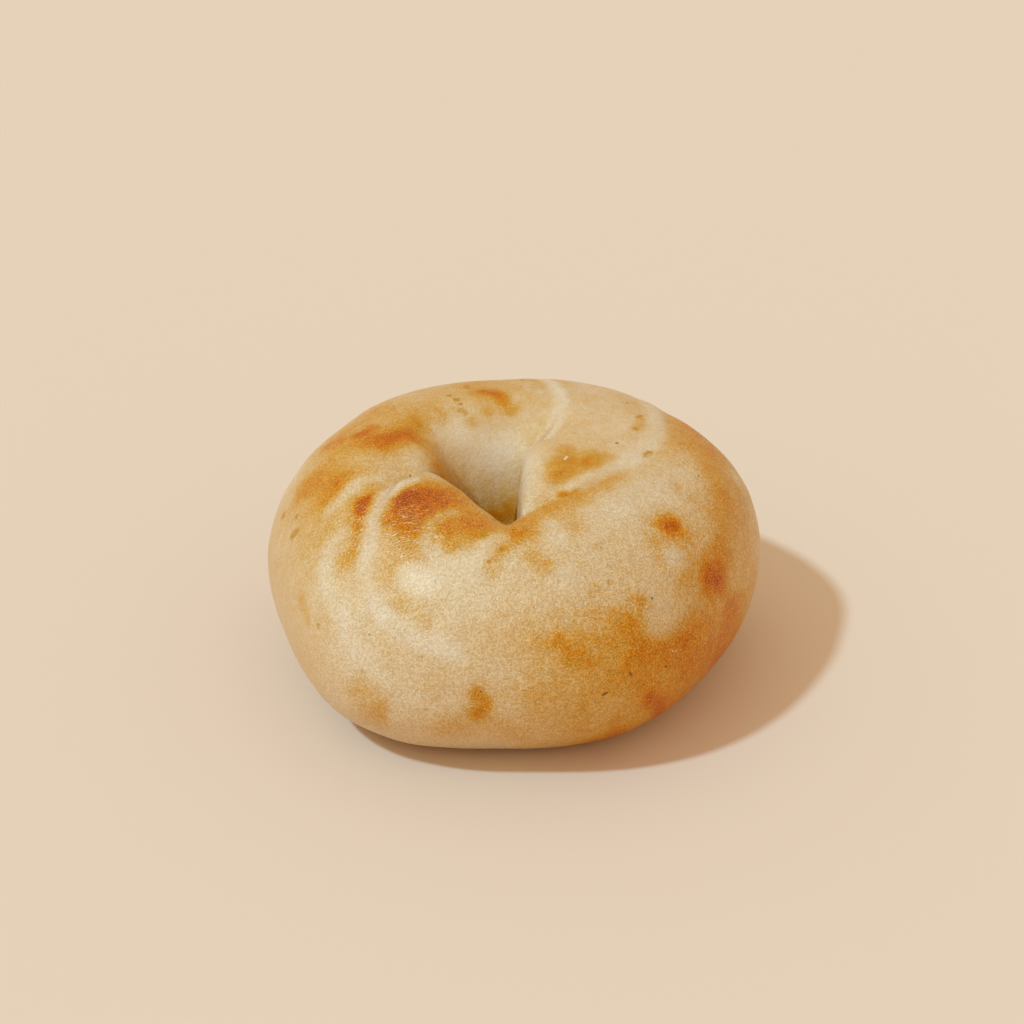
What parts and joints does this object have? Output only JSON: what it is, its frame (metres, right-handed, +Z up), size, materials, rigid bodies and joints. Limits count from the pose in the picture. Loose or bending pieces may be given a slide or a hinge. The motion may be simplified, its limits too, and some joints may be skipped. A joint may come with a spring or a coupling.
{
  "type": "mini bagel",
  "caption": "Small plump baked bagel with a folded, nearly closed hole and a flat foot.",
  "frame": {"origin": "on the surface that the bagel rests on, under the middle of its length and breadth", "axes": "+Z up through the hole, +X along the bagel's longest side, -Y towards the notch in the rim of the hole"},
  "size_m": [0.0694, 0.0654, 0.0336],
  "materials": {
    "crust": "baked crust, soft gloss, mottled from cream to brown"
  },
  "bodies": {
    "root": {"bagel": "crust"}
  },
  "joints": []
}
